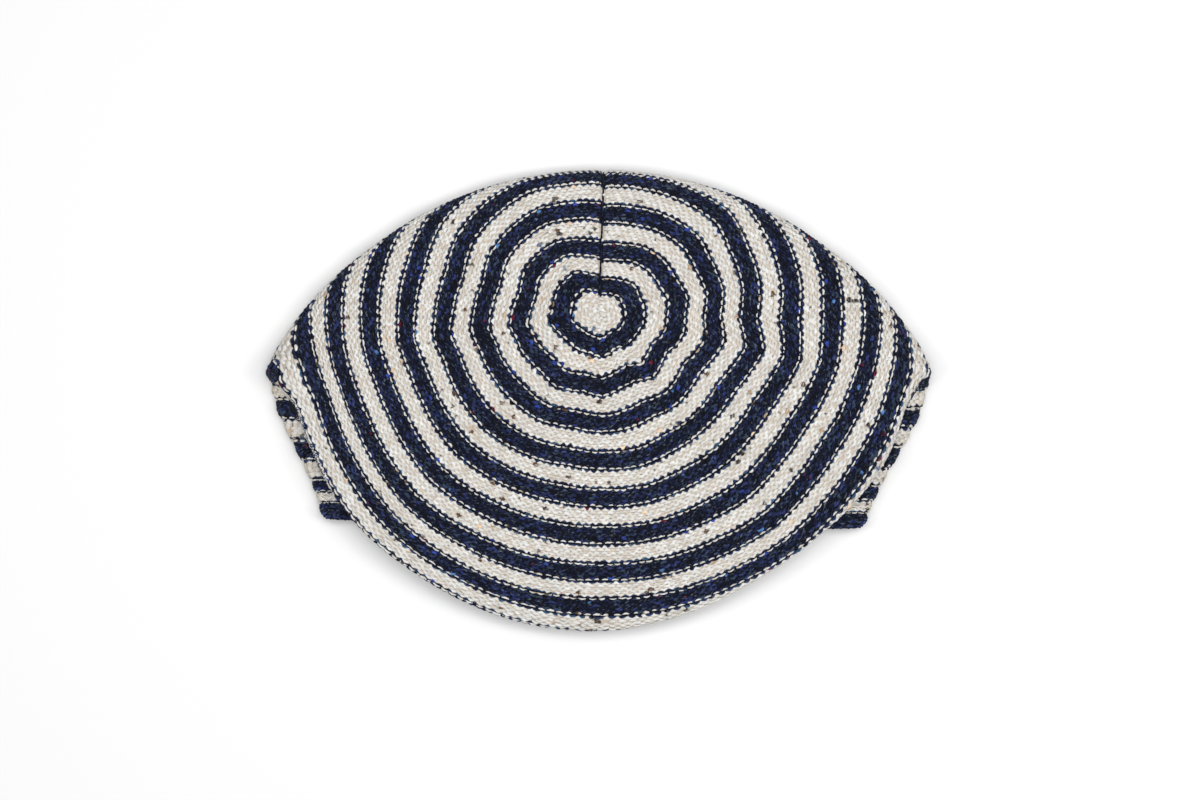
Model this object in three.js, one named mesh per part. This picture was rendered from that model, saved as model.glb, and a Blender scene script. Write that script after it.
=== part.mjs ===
// A knitted slouch beret, lying flat on a table with its crown up.
//
// The beret is one knitted wall that starts at the crown's centre and ends in a rolled edge round
// the head opening. From the centre the fabric runs out to the edge of the lying beret and turns
// under there. At the back it turns down onto the table and runs forward along it to the brim. At
// the front the slack crown hangs over the brim as a flap: the fabric turns under, runs back to a
// hinge line, and turns forward again as the upper side of the head opening.
//
// Millimetres. +X runs to the right corner, +Y to the back edge and +Z up from the table.

import * as THREE from 'three';

// Fabric.
const WALL = 2.6;
const BRIM_ROLL = 3.8;          // thickness of the rolled edge at the brim
const BRIM_ROLL_DEPTH = 7;      // how far the roll reaches in from the brim
const SEAM_DIRECTION = 88;      // the back seam, in degrees from +X round the crown's centre
const SEAM_DEPTH = 0.9;
const SEAM_HALF_ANGLE = 1.3;

// Plan of the lying beret: the back edge is one arc through both corners, a little fuller beside them.
const CORNER_X = 144.9;
const CORNER_Y = 12.3;
const BACK_EDGE_RADIUS = 162.7;
const CORNER_FULLNESS = 1.8;
const CORNER_FULL_ANGLE = 30;   // degrees from each corner that are fuller
const CROWN_CENTRE_Y = 37.6;
const FRONT_EDGE = [
  { direction: 195, reach: 141.5 },
  { direction: 205, reach: 140.8 },
  { direction: 215, reach: 141.3 },
  { direction: 224, reach: 139.8 },
  { direction: 235, reach: 138.7 },
  { direction: 255, reach: 139.0 },
  { direction: 270, reach: 138.7 },
  { direction: 285, reach: 136.7 },
  { direction: 300, reach: 135.0 },
  { direction: 313, reach: 136.0 },
  { direction: 322, reach: 138.2 },
  { direction: 333, reach: 140.6 },
  { direction: 344, reach: 141.5 },
];

// Heights of the middle of the wall above the table, and the rolls that the fabric makes.
const CROWN_HEIGHT = 25.6;
const CROWN_FLATNESS = { back: 5, front: 10 }; // power of its section: higher is flatter to the edge
const BACK_EDGE_HEIGHT = 10;
const BACK_CORNER_HEIGHT = 8;
const BACK_ROLL = 9;
const FLAP_ROLL = 4.5;
const FLAP_CORNER_ROLL = 2.6;
const HINGE_ROLL = 2.3;
const FLAP_DROOP = 7;
const FLAP_DROOP_START_Y = -57;
const FLAP_DROOP_SPAN = 43;
const ROLL_SHARE = 0.45;        // most of the run under the edge that its roll may take

// The head opening is a flattened tube from the corners to the brim: a back side on the table, a
// front side above it and a half-round roll at both sides. Across the middle a bow carries both
// sides forward, and the rise lifts the front one. Each side roll bows out from the straight line
// between its corner and the brim, and its sway brings most of that nearer to the corner.
const OPENING = {
  corner: { left: { x: -CORNER_X, y: CORNER_Y }, right: { x: CORNER_X, y: CORNER_Y },
    sideRoll: 3.4, rise: 3.6, bow: 0 },
  brim: { left: { x: -121.5, y: -50.5 }, right: { x: 116.5, y: -54.5 },
    sideRoll: 4.2, rise: 3.0, bow: -1.5 },
};
const SIDE_BOW = { left: { bow: 1.6, sway: 1.4 }, right: { bow: 2.8, sway: 1.6 } };
const SIDE_ROLL_SHARE = 0.034;  // share of a side's wales that lie in each side roll's quarter turn
const HINGE_CORNER_SHARE = 0.25; // where the hinge line runs between the corners and the brim
const HINGE_MIDDLE_SHARE = 0.8;
const HINGE_STEEPNESS = 2.3;    // how soon the hinge line reaches its middle share

// Mesh steps.
const BACK_STEPS = 27;          // along each half of a loop, between the side rolls
const FRONT_STEPS = 32;
const FRONT_CROWDING = 0.4;     // how much the front's steps crowd beside the side rolls
const SIDE_ROLL_STEPS = 3;      // in each quarter turn
const CROWN_FLAT_STEPS = 9;
const CROWN_EDGE_STEPS = 7;
const UNDER_STEPS = 17;         // from the edge to the hinge line
const BACK_ROLL_STEPS = 6;      // of these, in the turn at the back edge
const ROLL_ROW_WEIGHT = 2;      // steps crowd in the flap's turn and in its hinge
const HINGE_ROW_WEIGHT = 4;
const HEAD_OPENING_STEPS = 4;
const BRIM_ROLL_STEPS = 3;
const CROWN_FLAT_SHARE = 0.8;   // share of the crown's reach that is stepped evenly

const { lerp, clamp, degToRad, radToDeg } = THREE.MathUtils;
const crownCentre = new THREE.Vector2(0, CROWN_CENTRE_Y);
const backEdgeCentreY = CORNER_Y - Math.sqrt(BACK_EDGE_RADIUS ** 2 - CORNER_X ** 2);
const cornerReach = Math.hypot(CORNER_X, CORNER_Y - CROWN_CENTRE_Y);
const rightDirection = radToDeg(Math.atan2(CORNER_Y - CROWN_CENTRE_Y, CORNER_X));
const leftDirection = 180 - rightDirection;
const frontEdge = [
  { direction: leftDirection, reach: cornerReach },
  ...FRONT_EDGE,
  { direction: rightDirection + 360, reach: cornerReach },
];

// A wale is a column of stitches. It is numbered by a turn round the beret: 0 at the right corner,
// 0 to 1 along the back to the left corner, and 1 to 2 along the front to the right corner again.
// front goes from 0 on the back side to 1 on the front side, round the side rolls. fold is the part
// of the flap's fold that the wale takes: 0 at the back, 1 at the front.
function waleAt(turn) {
  const isFront = turn >= 1;
  const along = turn % 1;
  const sideRoll = Math.min(1, Math.min(along, 1 - along) / SIDE_ROLL_SHARE);
  const rollAngle = degToRad(90) * sideRoll;
  const run = clamp((along - SIDE_ROLL_SHARE) / (1 - 2 * SIDE_ROLL_SHARE), 0, 1);
  const front = (1 + (isFront ? 1 : -1) * Math.sin(rollAngle)) / 2;
  const fold = Math.max(0, 2 * front - 1);
  const tuck = 1 - Math.cos(rollAngle);
  return { isFront, along, sideRoll, run, front, fold, tuck, arch: 4 * run * (1 - run) };
}

// A point of the head opening's tube, at a share of the way from the corners to the brim.
function openingPoint(wale, share, wall) {
  const { corner, brim } = OPENING;
  const sideEnd = (side) => {
    const { bow, sway } = SIDE_BOW[side];
    const out = bow * 4 * share * (1 - share) + sway * Math.sin(2 * Math.PI * share);
    return {
      x: lerp(corner[side].x, brim[side].x, share) + Math.sign(corner[side].x) * out,
      y: lerp(corner[side].y, brim[side].y, share),
    };
  };
  const start = sideEnd(wale.isFront ? 'left' : 'right');
  const finish = sideEnd(wale.isFront ? 'right' : 'left');
  const sideRoll = lerp(corner.sideRoll, brim.sideRoll, share);
  const inset = Math.sign(finish.x - start.x) * (sideRoll * wale.tuck + WALL / 2);
  const back = wall / 2;
  const front = back + 2 * sideRoll + lerp(corner.rise, brim.rise, share) * wale.arch;
  return new THREE.Vector3(
    lerp(start.x + inset, finish.x - inset, wale.run),
    lerp(start.y, finish.y, wale.run) + lerp(corner.bow, brim.bow, share) * wale.arch,
    lerp(back, front, wale.front),
  );
}

// Where the wale passes the hinge line, as a share of the way from the corners to the brim.
function hingeShare({ isFront, arch }) {
  if (!isFront) return HINGE_CORNER_SHARE;
  return lerp(HINGE_CORNER_SHARE, HINGE_MIDDLE_SHARE, 1 - (1 - arch) ** HINGE_STEEPNESS);
}

// Direction in which the wale leaves the crown's centre: even along the back, and at the front the
// one that leads over the hinge.
function crownDirection(wale) {
  if (!wale.isFront) return lerp(rightDirection, leftDirection, wale.along);
  const hinge = openingPoint({ ...wale, tuck: 1, front: 1 }, hingeShare(wale), WALL);
  const overHinge = radToDeg(Math.atan2(hinge.y - crownCentre.y, hinge.x - crownCentre.x)) + 360;
  const corner = wale.run < 0.5 ? leftDirection : rightDirection + 360;
  return lerp(corner, overHinge, wale.sideRoll);
}

// Distance from the crown's centre to the lying beret's edge.
function edgeReach(isFront, direction) {
  if (isFront) return frontReach(direction);
  const offset = CROWN_CENTRE_Y - backEdgeCentreY;
  const along = offset * Math.sin(degToRad(direction));
  const fromCorner = Math.min(direction - rightDirection, leftDirection - direction);
  const share = clamp(fromCorner / CORNER_FULL_ANGLE, 0, 1);
  const fullness = CORNER_FULLNESS * (27 / 4) * share * (1 - share) ** 2;
  return Math.sqrt(along ** 2 + BACK_EDGE_RADIUS ** 2 - offset ** 2) - along + fullness;
}

// The front edge's reach, on a smooth curve through the rows of its table.
function frontReach(direction) {
  const last = frontEdge.length - 2;
  const at = clamp(frontEdge.findIndex((row) => row.direction > direction) - 1, 0, last);
  const row = (index) => frontEdge[clamp(index, 0, last + 1)];
  const slope = (index) => {
    const rise = row(index + 1).reach - row(index - 1).reach;
    return rise / (row(index + 1).direction - row(index - 1).direction);
  };
  const span = row(at + 1).direction - row(at).direction;
  const f = clamp((direction - row(at).direction) / span, 0, 1);
  const leave = slope(at) * span;
  const arrive = slope(at + 1) * span;
  const smooth = f * f * (3 - 2 * f);
  return lerp(row(at).reach, row(at + 1).reach, smooth)
    + f * (1 - f) ** 2 * leave - f * f * (1 - f) * arrive;
}

// How far the flap hangs below its hinge where it reaches out past the brim.
function droop(y) {
  const share = Math.max(0, (FLAP_DROOP_START_Y - y) / FLAP_DROOP_SPAN);
  return FLAP_DROOP * share ** 2;
}

// Below the crown at the back: the fabric turns under at the edge and runs in to the opening.
function plainRun({ edge, hinge, inward, underLength }) {
  const roll = Math.min(BACK_ROLL, underLength * ROLL_SHARE);
  const rows = [];
  for (let step = 1; step <= UNDER_STEPS; step++) {
    const turned = (Math.PI / 2) * Math.min(1, step / BACK_ROLL_STEPS);
    const along = Math.max(0, step - BACK_ROLL_STEPS) / (UNDER_STEPS - BACK_ROLL_STEPS);
    const distance = roll * (1 - Math.cos(turned)) + (underLength - roll) * along;
    const height = lerp(edge.z, hinge.z, Math.sin(turned));
    rows.push(edge.clone().addScaledVector(inward, distance).setZ(height));
  }
  return rows;
}

// Below the flap: the fabric turns under at the edge, runs in and turns back at the hinge. Where the
// flap is too shallow for that, the run leans down instead, and stands upright beside the corners.
function foldedRun({ edge, hinge, outward, roll, depth }) {
  const shallow = Math.max(0, roll - depth);
  const turnUnder = Math.PI / 2 - 2 * Math.atan(shallow / (roll + HINGE_ROLL));
  const length = Math.abs(roll - depth);
  const rollRows = ROLL_ROW_WEIGHT * roll * turnUnder;
  const hingeRows = HINGE_ROW_WEIGHT * HINGE_ROLL * (turnUnder + Math.PI / 2);
  const slip = hinge.clone().sub(edge).addScaledVector(outward, depth);
  const rows = [];
  for (let step = 1; step <= UNDER_STEPS; step++) {
    const share = step / UNDER_STEPS;
    const at = (rollRows + length + hingeRows) * share;
    const turned = turnUnder * clamp(at / rollRows, 0, 1);
    const run = clamp(at - rollRows, 0, length);
    const back = lerp(turnUnder, -Math.PI / 2, clamp((at - rollRows - length) / hingeRows, 0, 1));
    const inward = roll * (1 - Math.cos(turned)) + run * Math.sin(turnUnder)
      + HINGE_ROLL * (Math.cos(back) - Math.cos(turnUnder));
    const drop = roll * Math.sin(turned) + run * Math.cos(turnUnder)
      + HINGE_ROLL * (Math.sin(turnUnder) - Math.sin(back));
    const row = edge.clone().addScaledVector(outward, -inward).addScaledVector(slip, share);
    rows.push(row.setZ(hinge.z + roll + 2 * HINGE_ROLL - drop - droop(row.y)));
  }
  return rows;
}

// The middle of the wall along one wale, from the crown's centre to the brim, with its thickness.
function waleSection(turn) {
  const wale = waleAt(turn);
  const direction = crownDirection(wale);
  const angle = degToRad(direction);
  const outward = new THREE.Vector3(Math.cos(angle), Math.sin(angle), 0);
  const reach = edgeReach(wale.isFront, direction) - WALL / 2;
  const hingeAt = hingeShare(wale);
  const hinge = openingPoint(wale, hingeAt, WALL);
  const onCrown = (distance, height) => {
    const point = outward.clone().multiplyScalar(distance);
    return point.setY(point.y + CROWN_CENTRE_Y).setZ(height);
  };
  const roll = lerp(FLAP_CORNER_ROLL, FLAP_ROLL, wale.arch);
  const flapHeight = hinge.z + roll + 2 * HINGE_ROLL - droop(onCrown(reach, 0).y);
  const backHeight = lerp(BACK_CORNER_HEIGHT, BACK_EDGE_HEIGHT, wale.arch);
  const edge = onCrown(reach, lerp(backHeight, flapHeight, wale.front));
  const under = hinge.clone().sub(edge).setZ(0);
  const underLength = under.length();
  const inward = under.divideScalar(underLength);
  const depth = Math.max(-inward.dot(outward) * underLength, -HINGE_ROLL);

  const section = [];
  const add = (middle, wall = WALL) => section.push({ middle, wall });

  // The crown: flat round its centre, and a rounded shoulder at the edge.
  const flatness = lerp(CROWN_FLATNESS.back, CROWN_FLATNESS.front, wale.front);
  for (let step = 1; step <= CROWN_FLAT_STEPS; step++) {
    const share = CROWN_FLAT_SHARE * step / CROWN_FLAT_STEPS;
    const height = Math.sqrt(1 - share ** flatness);
    add(onCrown(reach * share, lerp(edge.z, CROWN_HEIGHT, height)));
  }
  const shoulderStart = Math.asin(CROWN_FLAT_SHARE ** (flatness / 2));
  for (let step = 1; step <= CROWN_EDGE_STEPS; step++) {
    const shoulder = lerp(shoulderStart, Math.PI / 2, step / CROWN_EDGE_STEPS);
    const distance = reach * Math.sin(shoulder) ** (2 / flatness);
    add(onCrown(distance, lerp(edge.z, CROWN_HEIGHT, Math.cos(shoulder))));
  }

  // From the edge in below the crown to the hinge line.
  const plain = plainRun({ edge, hinge, inward, underLength });
  const folded = foldedRun({ edge, hinge, outward, roll, depth });
  plain.forEach((point, index) => add(point.lerp(folded[index], wale.fold)));

  // The sides of the head opening, and the rolled edge at the brim.
  const brim = openingPoint(wale, 1, BRIM_ROLL);
  const rollAt = 1 - (1 - hingeAt) * BRIM_ROLL_DEPTH / hinge.distanceTo(brim);
  for (let step = 1; step <= HEAD_OPENING_STEPS; step++) {
    const share = lerp(hingeAt, rollAt, step / HEAD_OPENING_STEPS);
    add(openingPoint(wale, share, WALL));
  }
  for (let step = 1; step <= BRIM_ROLL_STEPS; step++) {
    const share = step / BRIM_ROLL_STEPS;
    const wall = lerp(WALL, BRIM_ROLL, Math.sin(Math.PI / 2 * share));
    add(openingPoint(wale, lerp(rollAt, 1, share), wall), wall);
  }
  return section;
}

// Turns at which the wall is sampled: close together in the side rolls and at the seam.
const seamTurn = (SEAM_DIRECTION - rightDirection) / (leftDirection - rightDirection);
const seamHalfTurn = SEAM_HALF_ANGLE / (leftDirection - rightDirection);
function sampledTurns() {
  const turns = [seamTurn - seamHalfTurn, seamTurn, seamTurn + seamHalfTurn];
  for (const half of [0, 1]) {
    for (let step = 0; step < SIDE_ROLL_STEPS; step++) {
      const share = SIDE_ROLL_SHARE * step / SIDE_ROLL_STEPS;
      turns.push(half + share, half + 1 - SIDE_ROLL_SHARE + share);
    }
  }
  for (let step = 0; step < BACK_STEPS; step++) {
    const turn = lerp(SIDE_ROLL_SHARE, 1 - SIDE_ROLL_SHARE, step / BACK_STEPS);
    const onSeam = Math.abs(turn - seamTurn) < 2 * seamHalfTurn;
    if (!onSeam) turns.push(turn);
  }
  for (let step = 0; step < FRONT_STEPS; step++) {
    const share = step / FRONT_STEPS;
    const crowded = share - FRONT_CROWDING * Math.sin(2 * Math.PI * share) / (2 * Math.PI);
    turns.push(1 + lerp(SIDE_ROLL_SHARE, 1 - SIDE_ROLL_SHARE, crowded));
  }
  return turns.sort((a, b) => a - b);
}

// The closed wall: an outer and an inner skin half a wall from its middle, joined round the brim.
function knittedWall() {
  const turns = sampledTurns();
  const sections = turns.map(waleSection);
  const rows = sections[0].length;
  const centre = new THREE.Vector3(crownCentre.x, crownCentre.y, CROWN_HEIGHT);
  const section = (index) => sections[(index + sections.length) % sections.length];
  const middle = (index, row) => (row < 0 ? centre : section(index)[Math.min(row, rows - 1)].middle);

  const positions = [];
  const put = (point) => positions.push(point.x, point.y, point.z) / 3 - 1;
  const up = new THREE.Vector3(0, 0, WALL / 2);
  const outerCentre = put(centre.clone().add(up));
  const innerCentre = put(centre.clone().sub(up));
  const outer = [];
  const inner = [];
  const nose = [];
  sections.forEach((points, index) => {
    const seamDepth = turns[index] === seamTurn ? SEAM_DEPTH : 0;
    outer.push([]);
    inner.push([]);
    points.forEach(({ middle: point, wall }, row) => {
      const down = middle(index, row + 1).clone().sub(middle(index, row - 1));
      const round = middle(index + 1, row).clone().sub(middle(index - 1, row));
      const normal = down.cross(round).normalize();
      outer[index].push(put(point.clone().addScaledVector(normal, wall / 2 - seamDepth)));
      inner[index].push(put(point.clone().addScaledVector(normal, -wall / 2)));
    });
    const outward = middle(index, rows - 1).clone().sub(middle(index, rows - 2)).normalize();
    nose.push(put(middle(index, rows - 1).clone().addScaledVector(outward, BRIM_ROLL / 2)));
  });

  const faces = [];
  const strip = (upperLeft, lowerLeft, lowerRight, upperRight) => {
    faces.push(upperLeft, lowerLeft, lowerRight, upperLeft, lowerRight, upperRight);
  };
  turns.forEach((_, left) => {
    const right = (left + 1) % turns.length;
    faces.push(outerCentre, outer[left][0], outer[right][0]);
    faces.push(innerCentre, inner[right][0], inner[left][0]);
    for (let row = 1; row < rows; row++) {
      strip(outer[left][row - 1], outer[left][row], outer[right][row], outer[right][row - 1]);
      strip(inner[right][row - 1], inner[right][row], inner[left][row], inner[left][row - 1]);
    }
    strip(outer[left][rows - 1], nose[left], nose[right], outer[right][rows - 1]);
    strip(nose[left], inner[left][rows - 1], inner[right][rows - 1], nose[right]);
  });

  const geometry = new THREE.BufferGeometry();
  geometry.setAttribute('position', new THREE.Float32BufferAttribute(positions, 3));
  geometry.setIndex(faces);
  geometry.computeVertexNormals();
  return geometry;
}

const navyWool = new THREE.MeshStandardMaterial({ color: 0x1c2340, roughness: 0.95, metalness: 0 });
const beret = new THREE.Mesh(knittedWall(), navyWool);
beret.name = 'knitted_beret';

const slouchBeret = new THREE.Group();
slouchBeret.add(beret);

export default slouchBeret;
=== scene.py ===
import bpy
import numpy as np
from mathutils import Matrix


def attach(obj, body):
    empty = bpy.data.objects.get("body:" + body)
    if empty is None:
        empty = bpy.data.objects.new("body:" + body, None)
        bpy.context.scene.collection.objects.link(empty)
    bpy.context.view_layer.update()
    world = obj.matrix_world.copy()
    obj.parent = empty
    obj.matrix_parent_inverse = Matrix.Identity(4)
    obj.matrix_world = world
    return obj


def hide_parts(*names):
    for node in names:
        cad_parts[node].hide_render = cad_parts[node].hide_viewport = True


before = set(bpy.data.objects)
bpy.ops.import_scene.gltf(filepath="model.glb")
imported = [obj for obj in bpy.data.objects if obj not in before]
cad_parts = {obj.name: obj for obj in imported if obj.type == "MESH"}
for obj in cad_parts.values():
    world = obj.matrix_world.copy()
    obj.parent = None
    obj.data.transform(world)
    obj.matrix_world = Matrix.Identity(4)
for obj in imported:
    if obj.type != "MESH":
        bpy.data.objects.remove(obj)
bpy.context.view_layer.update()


# The knitted fabric. One wall of tweed wool runs from the crown's centre to the brim, knitted purl
# side out and closed by a seam up the back. It lies with its back half flat on the table, and its
# slack front folds over the head opening.
MM = 0.001  # sizes are in mm, and directions in degrees from +X round the crown's centre
WALL = 2.6
BRIM_ROLL = 3.8
BRIM_ROLL_DEPTH = 7.0
STITCH_STANDS = 0.85  # how far the purl stitches stand above the fabric, out to the wall's outer face

CORNER_X = 144.9
CORNER_Y = 12.3
BACK_EDGE_RADIUS = 162.7
CORNER_FULLNESS = 1.8  # how far the back edge swells past its arc beside the corners
CORNER_FULL_ANGLE = 30.0
CROWN_CENTRE_Y = 37.6
FRONT_EDGE = (  # direction, then how far the flap's edge reaches
    (195, 139.8),
    (205, 139.0),
    (215, 140.2),
    (224, 139.8),
    (235, 138.7),
    (255, 139.0),
    (270, 138.7),
    (285, 136.7),
    (300, 135.0),
    (313, 136.0),
    (322, 138.2),
    (333, 140.6),
    (344, 140.2),
    (348, 142.6),
)
CROWN_HEIGHT = 25.6
CROWN_FLATNESS = {"back": 5.0, "front": 10.0}
BACK_EDGE_HEIGHT = 10.0
BACK_CORNER_HEIGHT = 8.0
BACK_ROLL = 9.0
FLAP_ROLL = 4.5
FLAP_CORNER_ROLL = 2.6
HINGE_ROLL = 2.3
FLAP_DROOP = 7.0
FLAP_DROOP_START_Y = -57.0
FLAP_DROOP_SPAN = 43.0
ROLL_SHARE = 0.45
OPENING_CORNER = {
    "left": (-CORNER_X, CORNER_Y),
    "right": (CORNER_X, CORNER_Y),
    "side_roll": 3.4,
    "rise": 3.6,
    "bow": 0.0,
}
OPENING_BRIM = {
    "left": (-121.5, -50.5),
    "right": (116.5, -54.5),
    "side_roll": 4.2,
    "rise": 3.0,
    "bow": -1.5,
}
SIDE_BOW = {"left": (1.6, 1.4), "right": (2.8, 1.6)}  # bow and sway of the opening's sides
SIDE_ROLL_SHARE = 0.034
HINGE_CORNER_SHARE = 0.25
HINGE_MIDDLE_SHARE = 0.8
HINGE_STEEPNESS = 2.3
LEAST_STEP = 1e-6  # keeps a run of lengths from standing still

TURN_STEPS = 1440
CROWN_FLAT_ROWS = 40
CROWN_EDGE_ROWS = 28
CROWN_FLAT_SHARE = 0.8
UNDER_ROWS = 60
BACK_ROLL_ROWS = 20
OPENING_ROWS = 20
BRIM_ROWS = 8

right_direction = np.degrees(np.arctan2(CORNER_Y - CROWN_CENTRE_Y, CORNER_X))
left_direction = 180 - right_direction


def lerp(start, finish, share):
    """A value that lies a share of the way from a start to a finish."""
    return start + (finish - start) * share


def norm(vectors):
    """The vectors' lengths."""
    return np.linalg.norm(vectors, axis=-1)


class Wales:
    """Columns of stitches, numbered by a turn: 0 to 1 along the back, 1 to 2 along the front."""

    def __init__(self, turn):
        self.is_front = turn % 2 >= 1
        self.along = turn % 1
        self.off_corner = np.minimum(self.along, 1 - self.along)
        self.side_roll = np.minimum(1, self.off_corner / SIDE_ROLL_SHARE)  # 0 at a side's fold, 1 off it
        angle = np.pi / 2 * self.side_roll
        self.run = np.clip((self.along - SIDE_ROLL_SHARE) / (1 - 2 * SIDE_ROLL_SHARE), 0, 1)
        self.front = (1 + np.where(self.is_front, 1, -1) * np.sin(angle)) / 2  # 0 in the back, 1 in front
        self.beside = np.sqrt(1 - np.abs(2 * self.front - 1))  # 1 at a side's fold, 0 off it
        self.fold = np.maximum(0, 2 * self.front - 1)
        self.tuck = 1 - np.cos(angle)
        self.arch = 4 * self.run * (1 - self.run)  # 1 halfway between the sides


def opening_point(wales, share, wall, tuck=None, front=None):
    """A point of the head opening's flattened tube, a share of the way from the corners to the brim."""
    tuck = wales.tuck if tuck is None else tuck
    front = wales.front if front is None else front

    def side_end(side, outward):
        bow, sway = SIDE_BOW[side]
        x, y = (lerp(a, b, share) for a, b in zip(OPENING_CORNER[side], OPENING_BRIM[side]))
        return x + outward * (bow * 4 * share * (1 - share) + sway * np.sin(2 * np.pi * share)), y

    left, right = side_end("left", -1), side_end("right", 1)
    start = [np.where(wales.is_front, a, b) for a, b in zip(left, right)]
    finish = [np.where(wales.is_front, b, a) for a, b in zip(left, right)]
    side_roll = lerp(OPENING_CORNER["side_roll"], OPENING_BRIM["side_roll"], share)
    inset = np.sign(finish[0] - start[0]) * (side_roll * tuck + WALL / 2)
    rise = lerp(OPENING_CORNER["rise"], OPENING_BRIM["rise"], share)
    bow = lerp(OPENING_CORNER["bow"], OPENING_BRIM["bow"], share)
    x = lerp(start[0] + inset, finish[0] - inset, wales.run)
    y = lerp(start[1], finish[1], wales.run) + bow * wales.arch
    z = lerp(wall / 2, wall / 2 + 2 * side_roll + rise * wales.arch, front)
    return np.stack(np.broadcast_arrays(x, y, z), axis=-1)


def hinge_share(wales):
    """How far from the corners to the brim the fabric turns from the flap into the opening's side."""
    deep = lerp(HINGE_CORNER_SHARE, HINGE_MIDDLE_SHARE, 1 - (1 - wales.arch) ** HINGE_STEEPNESS)
    return np.where(wales.is_front, deep, HINGE_CORNER_SHARE)


def crown_direction(wales):
    """The direction in which each wale leaves the crown's centre."""
    back = lerp(right_direction, left_direction, wales.along)
    hinge = opening_point(wales, hinge_share(wales), WALL, tuck=1, front=1)
    over_hinge = np.degrees(np.arctan2(hinge[..., 1] - CROWN_CENTRE_Y, hinge[..., 0])) + 360
    corner = np.where(wales.run < 0.5, left_direction, right_direction + 360)
    return np.where(wales.is_front, lerp(corner, over_hinge, wales.side_roll), back)


def edge_reach(wales, direction):
    """How far from the crown's centre the beret's outline is: an arc behind, and FRONT_EDGE in front."""
    centre_y = CORNER_Y - np.sqrt(BACK_EDGE_RADIUS**2 - CORNER_X**2)
    offset = CROWN_CENTRE_Y - centre_y
    along = offset * np.sin(np.radians(direction))
    back = np.sqrt(along**2 + BACK_EDGE_RADIUS**2 - offset**2) - along
    from_corner = np.minimum(direction - right_direction, left_direction - direction)
    share = np.clip(from_corner / CORNER_FULL_ANGLE, 0, 1)
    hump = 27 / 4 * share * (1 - share) ** 2  # rises to 1 a third of the way along
    back = back + CORNER_FULLNESS * hump

    corner_reach = np.hypot(CORNER_X, CORNER_Y - CROWN_CENTRE_Y)
    table = np.array([(left_direction, corner_reach), *FRONT_EDGE, (right_direction + 360, corner_reach)])
    at, reach = table.T
    last = len(at) - 1
    row = np.clip(np.searchsorted(at, direction, side="right") - 1, 0, last - 1)
    before = np.clip(np.arange(last + 1) - 1, 0, last)
    after = np.clip(np.arange(last + 1) + 1, 0, last)
    slope = (reach[after] - reach[before]) / (at[after] - at[before])
    span = at[row + 1] - at[row]
    part = np.clip((direction - at[row]) / span, 0, 1)
    rest = 1 - part
    front = lerp(reach[row], reach[row + 1], part * part * (3 - 2 * part))
    front += part * rest**2 * slope[row] * span - part * part * rest * slope[row + 1] * span
    return np.where(wales.is_front, front, back)


def droop(y):
    """How far the flap's front sinks."""
    return FLAP_DROOP * np.maximum(0, (FLAP_DROOP_START_Y - y) / FLAP_DROOP_SPAN) ** 2


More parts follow.
